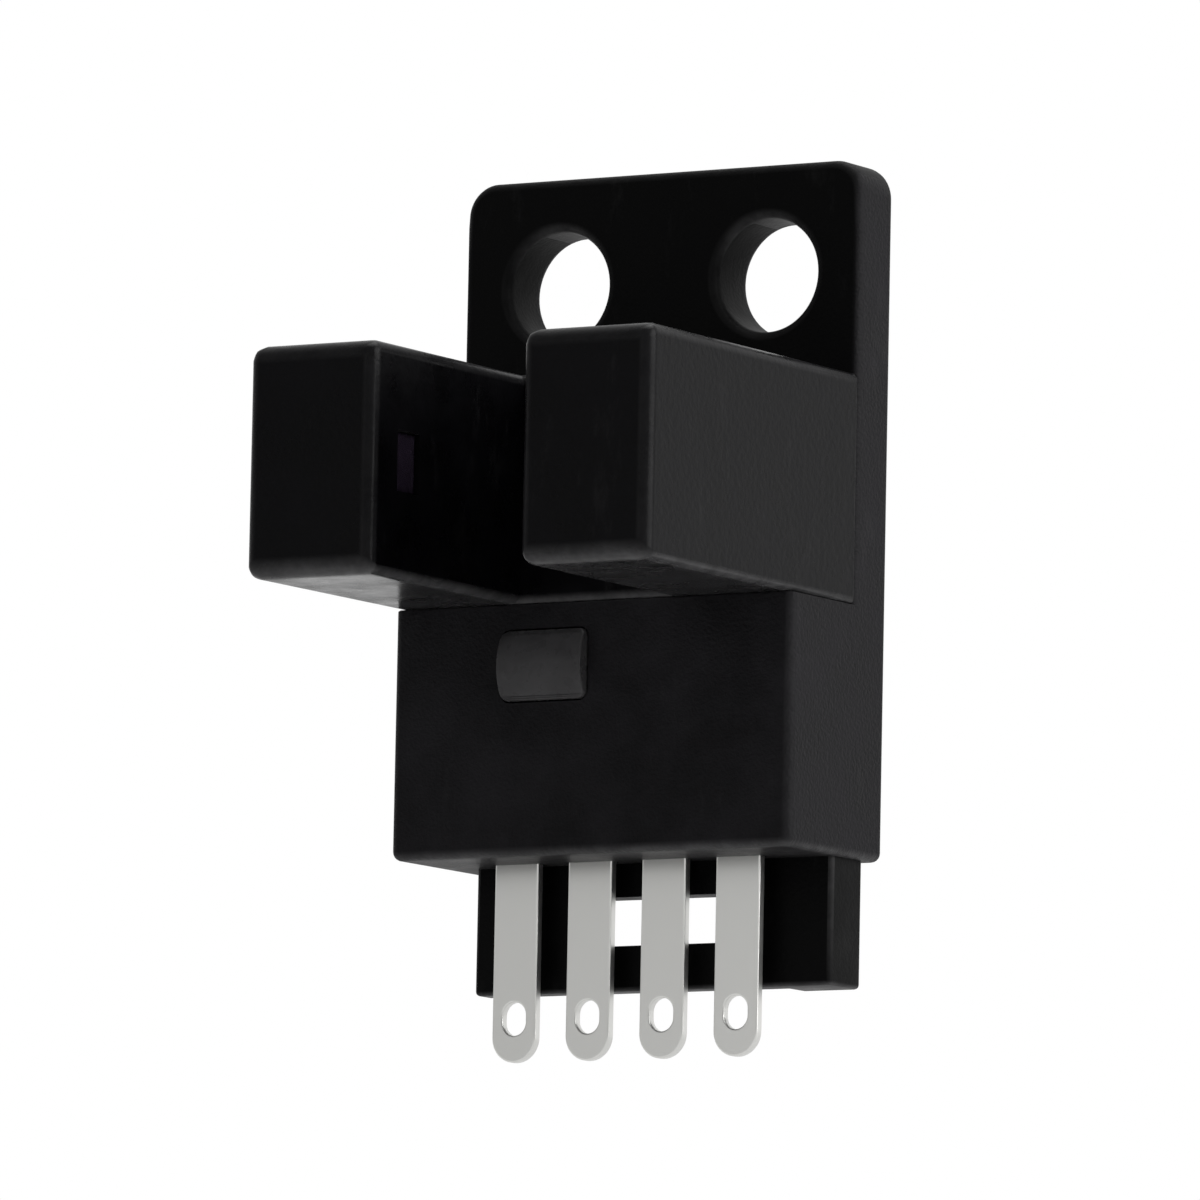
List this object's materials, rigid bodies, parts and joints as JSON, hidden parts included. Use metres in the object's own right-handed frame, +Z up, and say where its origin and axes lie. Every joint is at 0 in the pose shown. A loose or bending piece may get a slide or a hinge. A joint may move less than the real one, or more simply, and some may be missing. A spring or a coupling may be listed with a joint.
{
  "type": "slotted optical switch",
  "caption": "Forked optical sensor head on a flat screw-mounted plate; a target passing through its slot breaks the beam. Flat solder terminals stand below, in front of a connector guide.",
  "frame": {"origin": "on the rear mounting face, midway between the two screw holes", "axes": "+Y out of the mounting face, so the arms point along -Y; +Z up, away from the terminals; +X to the right as seen from the front"},
  "size_m": [0.0138, 0.014, 0.0267],
  "materials": {
    "case_plastic": "fine moulded texture, black",
    "hood_plastic": "smooth semi-gloss, black",
    "window_plastic": "polished, dark violet, passes infrared",
    "indicator_plastic": "smooth, smoky grey",
    "board_laminate": "green solder mask on glass laminate",
    "clear_epoxy": "clear moulded epoxy with a blue tint",
    "dark_epoxy": "moulded epoxy with a daylight filter",
    "lamp_epoxy": "red moulded epoxy",
    "chip_moulding": "matt black moulding",
    "chip_ceramic": "sintered ceramic",
    "tinned_metal": "bright tin plating over brass",
    "solder": "bright solder"
  },
  "bodies": {
    "root": {"case": "case_plastic", "hood": "hood_plastic", "emitter_window": "window_plastic", "receiver_window": "window_plastic", "indicator_window": "indicator_plastic", "circuit_board": "board_laminate", "emitter_body": "clear_epoxy", "emitter_leads": "tinned_metal", "receiver_body": "dark_epoxy", "receiver_leads": "tinned_metal", "lead_solder": "solder", "indicator_lamp": "lamp_epoxy", "output_transistor": "chip_moulding", "transistor_legs": "tinned_metal", "emitter_resistor": "chip_moulding", "indicator_resistor": "chip_moulding", "base_resistor": "chip_moulding", "supply_capacitor": "chip_ceramic", "protection_diode": "chip_moulding", "terminal_supply": "tinned_metal", "terminal_light_on": "tinned_metal", "terminal_output": "tinned_metal", "terminal_ground": "tinned_metal"}
  },
  "joints": []
}
